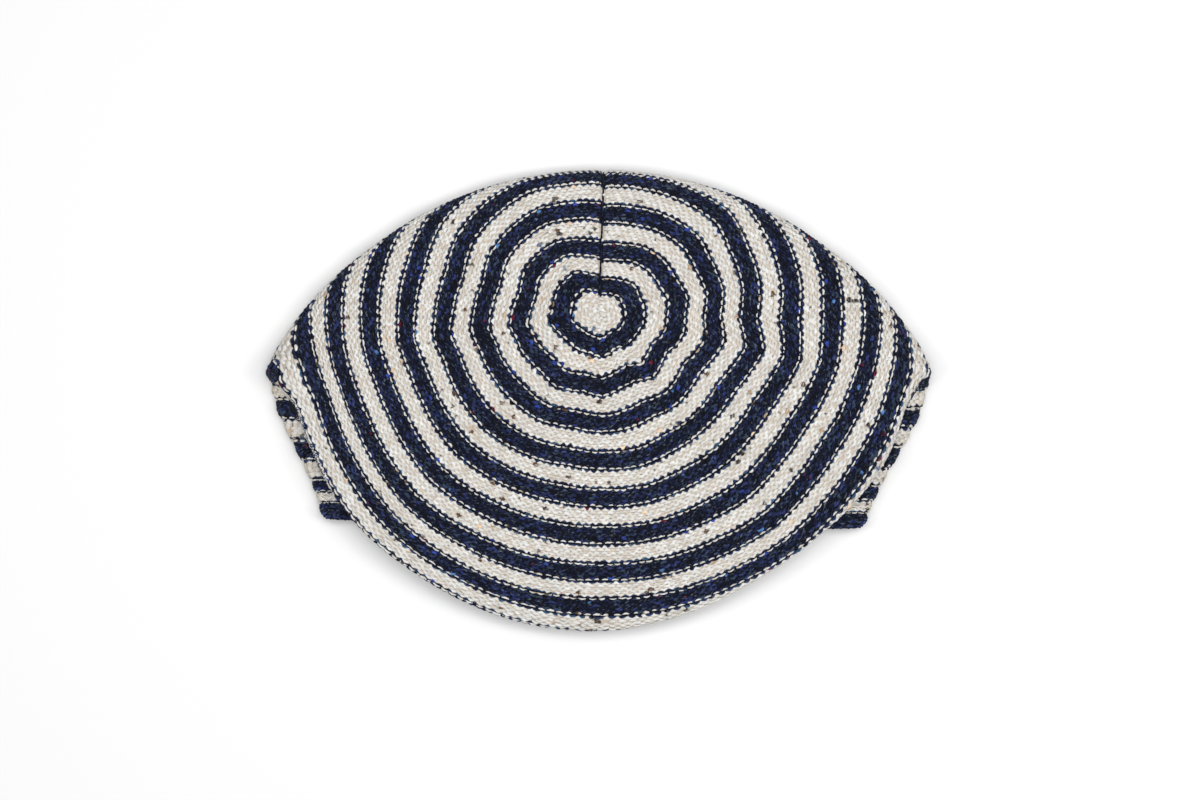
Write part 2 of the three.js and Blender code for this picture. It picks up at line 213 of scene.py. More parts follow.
def wale_sections(turn):
    """The middle of the wall along each wale, from the crown's centre to the brim, and its thickness."""
    wales = Wales(turn[:, None])
    direction = crown_direction(wales)
    outward = np.stack([np.cos(np.radians(direction)), np.sin(np.radians(direction)), 0 * direction], axis=-1)
    reach = edge_reach(wales, direction) - WALL / 2
    centre = np.array([0, CROWN_CENTRE_Y, 0])
    hinge_at = hinge_share(wales)
    hinge = opening_point(wales, hinge_at, WALL)
    hinge_z = hinge[..., 2]
    roll = lerp(FLAP_CORNER_ROLL, FLAP_ROLL, wales.arch)
    edge = centre + outward * reach[..., None]
    flap_height = hinge_z + roll + 2 * HINGE_ROLL - droop(edge[..., 1])
    back_height = lerp(BACK_CORNER_HEIGHT, BACK_EDGE_HEIGHT, wales.arch)
    edge_z = lerp(back_height, flap_height, wales.front)
    under = (hinge - edge) * (1, 1, 0)
    under_length = norm(under)
    inward = under / under_length[..., None]
    depth = np.maximum(-(under * outward).sum(axis=-1), -HINGE_ROLL)

    def lifted(flat, z):
        flat, z = np.broadcast_arrays(flat, z[..., None])
        return np.concatenate([flat[..., :2], z[..., :1]], axis=-1)

    # The crown, flat round its centre with a rounded shoulder.
    flatness = lerp(CROWN_FLATNESS["back"], CROWN_FLATNESS["front"], wales.front)
    flat_share = np.broadcast_to(
        CROWN_FLAT_SHARE * np.arange(CROWN_FLAT_ROWS + 1) / CROWN_FLAT_ROWS, (len(turn), CROWN_FLAT_ROWS + 1)
    )
    shoulder_start = np.arcsin(CROWN_FLAT_SHARE ** (flatness / 2))
    shoulder = lerp(shoulder_start, np.pi / 2, np.arange(1, CROWN_EDGE_ROWS + 1) / CROWN_EDGE_ROWS)
    share = np.concatenate([flat_share, np.sin(shoulder) ** (2 / flatness)], axis=1)
    height = np.concatenate([np.sqrt(1 - flat_share**flatness), np.cos(shoulder)], axis=1)
    crown = lifted(centre + outward * (reach * share)[..., None], lerp(edge_z, CROWN_HEIGHT, height))

    # The plain turn under at the back.
    step = np.arange(1, UNDER_ROWS + 1)
    back_roll = np.minimum(BACK_ROLL, under_length * ROLL_SHARE)
    turned = np.pi / 2 * np.minimum(1, step / BACK_ROLL_ROWS)
    along = np.maximum(0, step - BACK_ROLL_ROWS) / (UNDER_ROWS - BACK_ROLL_ROWS)
    distance = back_roll * (1 - np.cos(turned)) + (under_length - back_roll) * along
    plain = lifted(edge + inward * distance[..., None], lerp(edge_z, hinge_z, np.sin(turned)))

    # The flap's fold.
    shallow = np.maximum(0, roll - depth)
    turn_under = np.pi / 2 - 2 * np.arctan(shallow / (roll + HINGE_ROLL))
    length = np.abs(roll - depth)
    roll_rows = np.maximum(2 * roll * turn_under, LEAST_STEP)
    hinge_rows = 4 * HINGE_ROLL * (turn_under + np.pi / 2)
    at = (roll_rows + length + hinge_rows) * step / UNDER_ROWS
    turned = turn_under * np.clip(at / roll_rows, 0, 1)
    run = np.clip(at - roll_rows, 0, length)
    back = lerp(turn_under, -np.pi / 2, np.clip((at - roll_rows - length) / hinge_rows, 0, 1))
    into = roll * (1 - np.cos(turned)) + run * np.sin(turn_under)
    into = into + HINGE_ROLL * (np.cos(back) - np.cos(turn_under))
    drop = roll * np.sin(turned) + run * np.cos(turn_under)
    drop = drop + HINGE_ROLL * (np.sin(turn_under) - np.sin(back))
    slip = (hinge - edge) * (1, 1, 0) + outward * depth[..., None]
    folded = edge - outward * into[..., None] + slip * (step / UNDER_ROWS)[:, None]
    folded = lifted(folded, hinge_z + roll + 2 * HINGE_ROLL - drop - droop(folded[..., 1]))
    below = lerp(plain, folded, wales.fold[..., None])

    # The sides of the head opening and the rolled edge.
    brim = opening_point(wales, np.ones_like(hinge_at), BRIM_ROLL)
    roll_at = 1 - (1 - hinge_at) * BRIM_ROLL_DEPTH / norm(hinge - brim)
    opening_share = lerp(hinge_at, roll_at, np.arange(1, OPENING_ROWS + 1) / OPENING_ROWS)
    opening = opening_point(wales, opening_share, WALL)
    brim_share = np.arange(1, BRIM_ROWS + 1) / BRIM_ROWS
    brim_wall = lerp(WALL, BRIM_ROLL, np.sin(np.pi / 2 * brim_share))
    brim_rows = opening_point(wales, lerp(roll_at, 1, brim_share), brim_wall)

    middle = np.concatenate([crown, below, opening, brim_rows], axis=1)
    wall = np.full(middle.shape[:2], WALL)
    wall[:, -BRIM_ROWS:] = brim_wall
    return middle, wall, direction[:, 0], wales


turn_grid = np.arange(TURN_STEPS) * 2 / TURN_STEPS
whole_turns = np.append(turn_grid, 2.0)
middle, wall_grid, direction_grid, wale_grid = wale_sections(turn_grid)
steps = norm(np.diff(middle, axis=1))
length = np.concatenate([np.zeros((TURN_STEPS, 1)), steps.cumsum(axis=1)], axis=1)
edge_length = length[:, CROWN_FLAT_ROWS + CROWN_EDGE_ROWS]

# Courses are the rounds of stitches, counted from the crown's centre. The crown starts with a cream
# disc, has eight navy and eight cream bands up to its edge, and nine bands more down to the brim.
DISC_COURSES = 5
BAND_COURSES = 4
CROWN_BANDS = 16
LOWER_BANDS = 9
CROWN_COURSES = DISC_COURSES + CROWN_BANDS * BAND_COURSES
COURSES = CROWN_COURSES + LOWER_BANDS * BAND_COURSES
DISC_RADIUS = 10.7
COURSE_HEIGHT = 2.1
SEAM_DIRECTION = 88
SEAM_DEPTH = 1.0
SEAM_START_COURSE = 4.0
RING_RADII = (14.4, 31.2, 64.8, 115.2, 132.0)  # where the columns of the next table stand
RING_SHIFTS = (  # direction, then how far out of round the stripes are at each of these radii
    (-22, 1.5, 1.5, 1.5, 2.0, 1.0),
    (-13, 2.0, 3.0, 5.0, 3.0, 1.5),
    (-2, 1.5, 3.0, 0.0, 5.0, 2.5),
    (10, 1.5, 4.5, 2.5, 5.0, 4.0),
    (25, 1.0, 2.0, 2.5, 4.0, 3.5),
    (38, 2.0, 1.5, 4.0, 3.0, 3.0),
    (55, -0.5, 0.0, 0.0, 0.0, 0.0),
    (70, -1.5, -3.0, -2.5, -2.5, -2.0),
    (87.9, -2.5, -4.5, -5.0, -4.5, -4.0),
    (88.1, -1.5, -3.5, -3.5, -3.0, -3.0),
    (105, 0.0, -1.5, -2.0, -1.5, -1.0),
    (120, 3.0, 1.5, 0.5, 0.0, 0.0),
    (150, 3.0, 3.0, 2.0, 2.0, 2.0),
    (165, 3.0, 1.0, 0.5, 2.0, 1.5),
    (178, 2.5, 3.0, 2.5, 1.0, 0.5),
    (188, 4.0, 4.5, 4.5, 0.0, -4.0),
    (197, 3.0, 3.0, 2.2, -1.3, -6.8),
    (205, 1.5, 3.0, 2.2, -1.8, -6.0),
    (225, 0.0, 1.0, 2.5, 0.3, -4.1),
    (240, 0.0, 2.5, 1.0, -1.5, -4.6),
    (258, 0.0, 0.0, -1.0, -2.0, -4.5),
    (272, 1.0, 1.5, -0.5, -2.5, -4.5),
    (285, 0.5, -0.5, 0.5, -1.5, -3.5),
    (298, -1.0, -1.5, -0.5, -0.5, -3.0),
    (310, 0.5, 2.0, -0.5, 1.5, -1.5),
    (320, 1.0, 0.5, -0.5, 0.5, -1.0),
    (330, 1.5, -1.0, -0.5, 0.5, 0.0),
)
EDGE_TUCK = (  # direction, then how far under the flap's edge the crown's last course lies
    (190, -3.0),
    (193, -2.0),
    (214, -2.0),
    (222, -0.6),
    (235, -0.6),
    (248, -1.5),
    (262, -0.6),
    (270, 0.8),
    (281, 3.4),
    (292, 4.2),
    (303, 6.5),
    (311, 8.0),
    (320, 7.5),
    (333, 6.4),
    (344, 5.4),
    (352, 2.5),
)
CORNER_SHIFT = {"left": -3.0, "right": 3.2}  # the most that this course lies out of round at the corners
FRONT_SHIFT = 9.0  # and along the front
BACK_SHIFT = (  # direction, then how far out of round it lies along the back edge
    (-9.9, 3.2),
    (-1.0, 0.0),
    (178.0, 0.0),
    (185.0, 3.5),
    (187.5, 2.0),
    (189.9, -3.0),
)
STRIP_SHARES = {  # where the bands start along the strips, from the corners to the brim
    "left": (-0.08, 0.085, 0.195, 0.345, 0.485, 0.63, 0.76, 0.845, 0.915, 1.0),
    "right": (0.0, 0.126, 0.244, 0.381, 0.495, 0.644, 0.755, 0.855, 0.929, 1.0),
}
STRIP_TURNS = {  # up to which turn from a corner the wales keep to these bands, and from which they don't
    "back": (0.01, 0.05),
    "front": (0.05, 0.15),
}
COURSE_STEP = 0.25

course_grid = np.arange(0, COURSES + COURSE_STEP / 2, COURSE_STEP)


def ring_radius(course):
    """How far from the crown's centre a course would lie if its stripe were round."""
    inside = course * DISC_RADIUS / DISC_COURSES
    return np.where(course < DISC_COURSES, inside, DISC_RADIUS + (course - DISC_COURSES) * COURSE_HEIGHT)


def course_lengths():
    """How far along each wale every course lies."""
    table = np.array(RING_SHIFTS)
    crown_end = float(ring_radius(CROWN_COURSES))
    is_left = np.abs(turn_grid - 1) < 0.5
    corner_shift = np.where(is_left, CORNER_SHIFT["left"], CORNER_SHIFT["right"])
    tucked = np.minimum(edge_length - crown_end, 0) + np.interp(direction_grid, *np.array(EDGE_TUCK).T)
    tucked = np.minimum(tucked, lerp(corner_shift, FRONT_SHIFT, wale_grid.side_roll[:, 0]))
    cornered = np.interp(direction_grid, *np.array(BACK_SHIFT).T)
    edge_shift = np.where(wale_grid.is_front[:, 0], tucked, cornered)
    shifts = [np.interp(direction_grid, table[:, 0], column, period=360) for column in table[:, 1:].T]
    anchors = np.stack([0 * edge_shift, *shifts, edge_shift], axis=1)
    radii = (0, *RING_RADII, crown_end)
    on_crown = course_grid <= CROWN_COURSES
    crown_radii = ring_radius(course_grid[on_crown])
    down_strip = (CORNER_Y - middle[..., 1]) / (CORNER_Y - middle[:, -1:, 1])
    band_starts = np.arange(CROWN_COURSES, COURSES + 1, BAND_COURSES)
    strip_course = np.where(
        is_left[:, None],
        np.interp(down_strip, STRIP_SHARES["left"], band_starts),
        np.interp(down_strip, STRIP_SHARES["right"], band_starts),
    )
    keeps = {
        side: 1 - np.clip((wale_grid.off_corner[:, 0] - near) / (far - near), 0, 1)
        for side, (near, far) in STRIP_TURNS.items()
    }
    keeps = np.where(wale_grid.is_front[:, 0], keeps["front"], keeps["back"])
    rows = []
    for turn in range(TURN_STEPS):
        crown = crown_radii + np.interp(crown_radii, radii, anchors[turn])
        below = length[turn] > crown[-1]
        down = (length[turn, below] - crown[-1]) / (length[turn, -1] - crown[-1])
        even = lerp(CROWN_COURSES, COURSES, down)
        reached = np.maximum.accumulate(lerp(even, strip_course[turn, below], keeps[turn]))
        reached = np.concatenate([[CROWN_COURSES], reached]) + LEAST_STEP * np.arange(below.sum() + 1)
        run = np.concatenate([[crown[-1]], length[turn, below]])
        rows.append(np.concatenate([crown, np.interp(course_grid[~on_crown], reached, run)]))
    return np.array(rows)


course_length = course_lengths()
point_grid = np.empty((*course_length.shape, 3))
half_wall_grid = np.empty(course_length.shape)
for turn in range(TURN_STEPS):
    for axis in range(3):
        point_grid[turn, :, axis] = np.interp(course_length[turn], length[turn], middle[turn, :, axis])
    half_wall_grid[turn] = np.interp(course_length[turn], length[turn], wall_grid[turn]) / 2


LEAST_LENGTH = 1e-12


def unit(vector):
    """The vector's direction, with a length of 1."""
    return vector / np.maximum(np.linalg.norm(vector, axis=-1, keepdims=True), LEAST_LENGTH)


# The grids' slopes: round the beret for each turn, and down the wales for each course step.
round_grid = (np.roll(point_grid, -1, axis=0) - np.roll(point_grid, 1, axis=0)) * TURN_STEPS / 4
down_grid = np.gradient(point_grid, axis=1)
normal_grid = unit(np.cross(down_grid, round_grid))
near_centre = course_grid < 1
normal_grid[:, near_centre] = (0, 0, 1)

# How far each place lies from the seam, which runs along the back only and starts beside the centre.
NO_SEAM = 1000.0
seam_turn = (SEAM_DIRECTION - right_direction) / (left_direction - right_direction)
seam_gap_grid = (turn_grid - seam_turn)[:, None] * norm(round_grid)
seam_gap_grid[turn_grid >= 1] = NO_SEAM
seam_gap_grid[:, course_grid < SEAM_START_COURSE - 0.5] = NO_SEAM


def on_grid(grid, turn, course):
    """A grid's values between its turns and courses."""
    at_turn = turn % 2 * TURN_STEPS / 2
    at_course = np.clip(course, 0, COURSES) / COURSE_STEP
    left = np.floor(at_turn).astype(int)
    upper = np.minimum(np.floor(at_course).astype(int), grid.shape[1] - 2)
    across, down = at_turn - left, at_course - upper
    left, right = left % TURN_STEPS, (left + 1) % TURN_STEPS
    if grid.ndim == 3:
        across, down = across[..., None], down[..., None]
    high = lerp(grid[left, upper], grid[right, upper], across)
    low = lerp(grid[left, upper + 1], grid[right, upper + 1], across)
    return lerp(high, low, down)


# In the half-round strips at the sides each band bulges by itself, the corners are full, and the seam
# lies in a groove.
STRIP_BULGE = 1.1
STRIP_START = 2.0  # courses below the crown in which the bulges rise to their full height
BULGE_ROUNDNESS = 0.7
BULGE_LEVEL = 0.6  # the share of a bulge that lies below the fabric's own level
CORNER_SWELL = {"back": 1.2, "front": 1.3}
CORNER_SWELL_MIDDLE = CROWN_COURSES + 2
CORNER_SWELL_COURSES = 6.5
CORNER_SWELL_TURN = 0.1
SEAM_HALF_WIDTH = 1.3


def strip_share(turn, course):
    """How far a place lies in the strips at the sides, up to 1."""
    return Wales(turn).beside * np.clip((course - CROWN_COURSES) / STRIP_START, 0, 1)


def corner_swell(turn, course):
    """How far the fabric stands out round a corner."""
    wales = Wales(turn)
    behind = wales.side_roll * np.clip(1 - wales.off_corner / CORNER_SWELL_TURN, 0, 1)
    swell = CORNER_SWELL["front"] * wales.beside + np.where(wales.is_front, 0, CORNER_SWELL["back"] * behind)
    return swell * np.exp(-(((course - CORNER_SWELL_MIDDLE) / CORNER_SWELL_COURSES) ** 2))


def relief(turn, course):
    """How far the outer face stands above the even wall."""
    wave = np.abs(np.sin(np.pi * (course - CROWN_COURSES) / BAND_COURSES))
    bulge = wave**BULGE_ROUNDNESS - BULGE_LEVEL
    full = STRIP_BULGE * bulge * strip_share(turn, course) + corner_swell(turn, course)
    gap = on_grid(seam_gap_grid, turn, course)
    return full - SEAM_DEPTH * np.exp(-((gap / SEAM_HALF_WIDTH) ** 2))


def outer_face(turn, course):
    """Points on the fabric's outer face, under the stitches, and the way that it faces."""
    normal = unit(on_grid(normal_grid, turn, course))
    lift = on_grid(half_wall_grid, turn, course) - STITCH_STANDS + relief(turn, course)
    place = on_grid(point_grid, turn, course) + normal * lift[..., None]
    place[..., 2] = np.maximum(place[..., 2], STITCH_STANDS)  # flat on the table
    return place, normal


def inner_face(turn, course):
    """Points on the fabric's inner face."""
    normal = unit(on_grid(normal_grid, turn, course))
    return on_grid(point_grid, turn, course) - normal * on_grid(half_wall_grid, turn, course)[..., None]


def rolled_edge(turn, angle):
    """Points round the brim's rolled edge, by the angle from the outer face to the inner one."""
    turn, angle = np.broadcast_arrays(turn, angle)
    end = np.full(turn.shape, float(COURSES))
    outer, normal = outer_face(turn, end)
    inner = inner_face(turn, end)
    down = unit(on_grid(down_grid, turn, end))
    facing = normal * np.cos(angle)[..., None] + down * np.sin(angle)[..., None]
    radius = np.linalg.norm(outer - inner, axis=-1, keepdims=True) / 2
    return (outer + inner) / 2 + facing * radius, facing


FABRIC_TURNS = 270
FABRIC_ROWS = 105
SEAM_TURNS = 5
SEAM_TURN_REACH = 0.012
SEAM_TURN_CLEAR = 0.014
NOSE_ROWS = 5
GIRTH_COURSES = (40, 92)  # on the crown and in the head opening


def ring_gaps(ring):
    """The distances from each point of a closed ring to the next."""
    return norm(np.roll(ring, -1, axis=0) - ring)


def run_along(gaps):
    """How far along a line its points lie."""
    return np.concatenate([[0], gaps.cumsum()])


# Fabric columns are spread by girth, half by the crown's and half by the opening's, with a few more
# at the seam.
girth = np.zeros(TURN_STEPS + 1)
for course in GIRTH_COURSES:
    gaps = ring_gaps(point_grid[:, int(course / COURSE_STEP)])
    girth += run_along(gaps) / gaps.sum() / len(GIRTH_COURSES)
fabric_turns = np.interp(np.arange(FABRIC_TURNS) / FABRIC_TURNS, girth, whole_turns)
seam_turns = seam_turn + np.linspace(-SEAM_TURN_REACH, SEAM_TURN_REACH, SEAM_TURNS)
clear = np.abs(fabric_turns - seam_turn) > SEAM_TURN_CLEAR
fabric_turns = np.sort(np.concatenate([fabric_turns[clear], seam_turns]))
fabric_courses = np.linspace(0, COURSES, FABRIC_ROWS + 1)[1:]

turn, course = np.meshgrid(fabric_turns, fabric_courses, indexing="ij")
outer = outer_face(turn, course)[0]
inner = inner_face(turn, course)
nose_angle = np.pi * np.arange(1, NOSE_ROWS + 1) / (NOSE_ROWS + 1)
nose = rolled_edge(fabric_turns[:, None], nose_angle)[0]

sheet = np.concatenate([outer, nose, inner[:, ::-1]], axis=1)
sheet_course = np.concatenate([course, np.full(nose.shape[:2], float(COURSES)), course[:, ::-1]], axis=1)
columns, rows = sheet.shape[:2]
pole_heights = (CROWN_HEIGHT + WALL / 2 - STITCH_STANDS, CROWN_HEIGHT - WALL / 2)
poles = [(0, CROWN_CENTRE_Y, height) for height in pole_heights]
fabric_points = np.concatenate([sheet.reshape(-1, 3), poles])
# The rolled edge keeps the colour of the last band.
fabric_course = np.minimum(np.concatenate([sheet_course.ravel(), [0, 0]]), COURSES - 0.5)
inside = np.zeros((columns, rows))
inside[:, len(fabric_courses) + NOSE_ROWS:] = 1
fabric_inside = np.concatenate([inside.ravel(), [0, 1]])

index = np.arange(columns * rows).reshape(columns, rows)
after = np.roll(index, -1, axis=0)
quads = np.stack([index[:, :-1], index[:, 1:], after[:, 1:], after[:, :-1]], axis=-1).reshape(-1, 4)
outer_pole, inner_pole = columns * rows, columns * rows + 1
outer_fan = np.stack([np.full(columns, outer_pole), index[:, 0], after[:, 0]], axis=-1)
inner_fan = np.stack([np.full(columns, inner_pole), after[:, -1], index[:, -1]], axis=-1)

# Laid out flat, the fabric's map runs round the beret from left to right, and upwards from the crown's
# outer face over the brim to its inner one.
MAP_MARGIN = 0.01
flat_u = np.arange(columns + 1) / columns
flat_v = lerp(MAP_MARGIN, 1 - MAP_MARGIN, np.arange(rows) / (rows - 1))
here, there = flat_u[:-1], flat_u[1:]


def quad_map(u_left, u_right, v_rows):
    """The map of the columns' quads."""
    u = np.stack([u_left, u_left, u_right, u_right], axis=-1)
    v = np.stack([v_rows[:-1], v_rows[1:], v_rows[1:], v_rows[:-1]], axis=-1)
    u, v = np.broadcast_arrays(u[:, None], v[None])
    return np.stack([u, v], axis=-1).reshape(-1, 2)


def fan_map(pole_v, first_u, second_u, v):
    """The map of the triangles round a pole."""
    u = np.stack([(here + there) / 2, first_u, second_u], axis=-1)
    return np.stack(np.broadcast_arrays(u, np.array([pole_v, v, v])), axis=-1).reshape(-1, 2)


fabric_map = np.concatenate([
    quad_map(here, there, flat_v),
    fan_map(0.0, here, there, flat_v[0]),
    fan_map(1.0, there, here, flat_v[-1]),
])


ATTRIBUTE_KINDS = {(): ("FLOAT", "value"), (3,): ("FLOAT_VECTOR", "vector"), (4,): ("FLOAT_COLOR", "color")}


def joined_mesh(name, points, faces, flat_map, **attributes):
    """An object from arrays of points in mm, faces, the corners of its flat map and point attributes."""
    mesh = bpy.data.meshes.new(name)
    mesh.from_pydata(points * MM, [], [face for group in faces for face in group.tolist()])
    mesh.uv_layers.new(name="OFBake").data.foreach_set("uv", flat_map.astype(np.float32).ravel())
    for label, values in attributes.items():
        kind, field = ATTRIBUTE_KINDS[values.shape[1:]]
        mesh.attributes.new(label, kind, "POINT").data.foreach_set(field, values.astype(np.float32).ravel())
    piece = bpy.data.objects.new(name, mesh)
    bpy.context.collection.objects.link(piece)
    bpy.ops.object.select_all(action="DESELECT")
    piece.select_set(True)
    bpy.context.view_layer.objects.active = piece
    bpy.ops.object.shade_smooth()
    return piece


def operator(operation, turned=False):
    """An operator that adds a Math node; where it is turned round, the other value comes first."""

    def apply(self, other):
        values = (other, self) if turned else (self, other)
        return self.maths(operation, *values)

    return apply


class Shade:
    """A socket of a material's nodes; sums on it add Math nodes."""

    def __init__(self, tree, socket=None):
        self.tree, self.socket = tree, socket

    def node(self, kind, output=0, settings=None, **sockets):
        """A node's output. A socket is named by its label, or by the word at and its place."""
        made = self.tree.nodes.new("ShaderNode" + kind)
        for label, value in (settings or {}).items():
            setattr(made, label, value)
        for label, value in sockets.items():
            named = int(label[2:]) if label.startswith("at") else label
            if isinstance(value, Shade):
                self.tree.links.new(value.socket, made.inputs[named])
            else:
                made.inputs[named].default_value = value
        return Shade(self.tree, made.outputs[output])

    def maths(self, operation, *values):
        """A Math node on these values."""
        sockets = {f"at{place}": value for place, value in enumerate(values)}
        return self.node("Math", 0, {"operation": operation}, **sockets)

    __add__ = operator("ADD")
    __radd__ = operator("ADD", turned=True)
    __sub__ = operator("SUBTRACT")
    __rsub__ = operator("SUBTRACT", turned=True)
    __mul__ = operator("MULTIPLY")
    __rmul__ = operator("MULTIPLY", turned=True)
    __mod__ = operator("FLOORED_MODULO")
    __gt__ = operator("GREATER_THAN")
    __lt__ = operator("LESS_THAN")

    def __abs__(self):
        return self.maths("ABSOLUTE", self)

    def wave(self):
        """The sine of this number of rounds."""
        angle = self * (2 * np.pi)
        return angle.maths("SINE", angle)

    def mix(self, first, second):
        """A colour between two, by this share."""
        return self.node("Mix", 2, {"data_type": "RGBA"}, at0=self, at6=first, at7=second)

    def times(self, shade):
        """This colour, made lighter or darker by a number."""
        grey = self.node("CombineColor", at0=shade, at1=shade, at2=shade)
        settings = {"data_type": "RGBA", "blend_type": "MULTIPLY"}
        return self.node("Mix", 2, settings, at0=1.0, at6=self, at7=grey)

    def above(self, start, slope):
        """How far this number is above a start, as a share up to 1."""
        settings = {"operation": "MULTIPLY", "use_clamp": True}
        return self.node("Math", 0, settings, at0=self - start, at1=slope)


def linear(red, green, blue):
    """A screen colour, from 0 to 255, as light, by the sRGB curve."""
    share = np.array([red, green, blue]) / 255
    return np.where(share <= 0.04045, share / 12.92, ((share + 0.055) / 1.055) ** 2.4)


def paint(colour):
    """A screen colour for a socket."""
    return (*linear(*colour), 1.0)


WOOL_SPECULAR = 0.1
WOOL_SHEEN_ROUGHNESS = 0.6


def new_wool(name, roughness, sheen, sheen_tint):
    """A wool material: its node tree's start and its shader."""
    material = bpy.data.materials.new(name)
    material.use_nodes = True
    shader = material.node_tree.nodes["Principled BSDF"]
    shader.inputs["Roughness"].default_value = roughness
    shader.inputs["Specular IOR Level"].default_value = WOOL_SPECULAR
    shader.inputs["Sheen Weight"].default_value = sheen
    shader.inputs["Sheen Roughness"].default_value = WOOL_SHEEN_ROUGHNESS
    shader.inputs["Sheen Tint"].default_value = paint(sheen_tint)
    return material, Shade(material.node_tree), shader


def finish_wool(start, shader, colour, height, strength, depth):
    """Gives a wool material its colour and its relief."""
    bump = start.node("Bump", Strength=strength, Distance=depth * MM, Height=height)
    start.tree.links.new(colour.socket, shader.inputs["Base Color"])
    start.tree.links.new(bump.socket, shader.inputs["Normal"])


def uneven(fibre, darkest):
    """A shade that follows the fibres, from a darkest one, and is 1 on the whole."""
    return darkest + 2 * (1 - darkest) * fibre


# The fabric's outer face between the stitches is painted darker than their yarn: painted shade in the gaps
# between the bumps.
NAVY_SHADED_GROUND = (14, 17, 30)
CREAM_SHADED_GROUND = (192, 180, 166)
NAVY_KNIT = (26, 33, 66)  # the inner face shows the smooth side of the knit
CREAM_KNIT = (222, 214, 200)
FABRIC_STITCHES = 190  # round the inner face
KNIT_LOOP = 0.4  # the loops' part in the relief of the smooth side; the rest is their two legs
KNIT_DEPTH = 0.6
KNIT_BUMP = 0.6
KNIT_SHADOW = 0.45  # the shade deep between the stitches
GROUND_DARKEST = 0.7
GROUND_FIBRE_RELIEF = 0.3
GROUND_FIBRE_SCALE = 1600.0  # per metre

fabric = joined_mesh(
    "knitted_fabric", fabric_points, [quads, outer_fan, inner_fan], fabric_map,
    course=fabric_course, inside=fabric_inside,
)
ground, start, shader = new_wool("knitted_ground", roughness=0.95, sheen=0.05, sheen_tint=(200, 200, 205))
course_value = start.node("Attribute", 2, {"attribute_name": "course"})
inside_value = start.node("Attribute", 2, {"attribute_name": "inside"})
flat = start.node("UVMap", 0, {"uv_map": "OFBake"})
object_place = start.node("TexCoord", 3)
round_value = start.node("SeparateXYZ", Vector=flat) * FABRIC_STITCHES
navy_band = ((course_value - (DISC_COURSES - 1)) % (2 * BAND_COURSES)) < BAND_COURSES + 1
navy_band = navy_band * (course_value > DISC_COURSES - 1)
legs = abs(round_value % 1 - 0.5)
knit = legs.wave() * ((1 - KNIT_LOOP) + KNIT_LOOP * (course_value + legs).wave())
knit = knit * inside_value
fibre = start.node("TexNoise", Vector=object_place, Scale=GROUND_FIBRE_SCALE, Detail=3.0)
# The outer face takes the painted shade of the gaps between the stitches.
shaded_outside_colour = navy_band.mix(paint(CREAM_SHADED_GROUND), paint(NAVY_SHADED_GROUND))
inside_colour = navy_band.mix(paint(CREAM_KNIT), paint(NAVY_KNIT))
colour = inside_value.mix(shaded_outside_colour, inside_colour)
light = (knit + (1 - inside_value)) * uneven(fibre, GROUND_DARKEST)
colour = colour.times(KNIT_SHADOW + (1 - KNIT_SHADOW) * light)
finish_wool(start, shader, colour, knit + GROUND_FIBRE_RELIEF * fibre, KNIT_BUMP, KNIT_DEPTH)
fabric.data.materials.append(ground)
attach(fabric, "root")
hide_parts("knitted_beret")


# The purl stitches of tweed wool. Each course shows two lines of bumps, the feet of its loops and the heads
# of the course before, half a stitch apart. Where navy yarn changes to cream the two lines cross over, which
# draws a line of dashes in both colours along each side of every stripe.
LINES = 2 * COURSES
CROWN_LINES = 2 * CROWN_COURSES
REPEAT_LINES = 4 * BAND_COURSES  # a navy and a cream stripe, counted from the first navy one
FIRST_NAVY_LINE = 2 * DISC_COURSES
FIRST_DASH_LINE = FIRST_NAVY_LINE - 2
LAST_BAND_LINE = LINES - 4  # from here to the brim all is navy
NAVY_LINES = (0, 1, 2, 3, 4, 5, 7, 14)
DASH_LINES = (6, 7, 14, 15)
STITCH_PITCH = 3.2
CENTRE_PITCH = 2.4
CENTRE_PITCH_RADIUS = 25.0
CENTRE_LEAST_STITCHES = 3
CENTRE_TWIST = 17  # degrees from one line of the centre to the next
STRETCH_RADIUS = 105.0  # beyond this the crown has no more stitches, and they stretch
BELOW_PITCH = 3.1
DECREASES = (88, 150, 188, 225, 272, 310, 347, 448)  # directions of the lines where stitches join
TURN_JITTER = 0.0009
COURSE_JITTER = 0.07
LENGTH_RANGE = (0.9, 1.1)
SEAM_CLEAR = 0.55  # from the seam's middle to the stitches beside it
STITCH_SHARE = 1.06  # of the pitch that a stitch spans
SHORTEST_HALF_STITCH = 0.45
STRIPE_LINES = 6
STRIPE_SPREAD = 0.24  # how far, in courses, a stripe's outer lines spread into the dashes
DASH_SPREAD = 0.11
LINE_HALF_WIDTH = {True: 0.82, False: 0.92}  # by whether the yarn is navy
DASH_HALF_WIDTH = {True: 0.5, False: 0.47}
DASH_UNEVENNESS = 0.25
WIDTH_RANGE = (0.92, 1.08)
STRETCH_RANGE = (0.6, 1.6)  # how much narrower or wider a course's stretch makes its stitches
STITCH_HEIGHT = 0.78
HEIGHT_RANGE = (0.85, 1.0)
STITCH_BEND = 0.75
EDGE_BEND = 1.05  # in the first and last line of a stripe
DASH_BEND = 0.42
BEND_JITTER = 0.06
STITCH_DIP = 0.5
STRIP_FLATNESS = 0.6  # how much less the stitches arch and dip in the strips
STRIP_FULLNESS = 0.3
STRIP_PAINTED_SHADE = (0.92, 0.87, 0.78)  # painted shade: the strips face sideways, so their wool is painted darker and warmer
FULL_HALF_STITCH = 1.5  # a shorter stitch arches less
WIDEST_TURN = 0.3  # that half a stitch spans, beside the crown's centre
MOST_FILLED = 6  # lines of stitches that take the place of one
PLACES = np.array([-1.0, -0.66, 0.0, 0.66, 1.0])  # a stitch's tip, three rings and other tip, in half lengths
seeded = np.random.default_rng(11)


def line_course(line):
    """The course at which a line of bumps lies."""
    return (line + 0.5) / 2


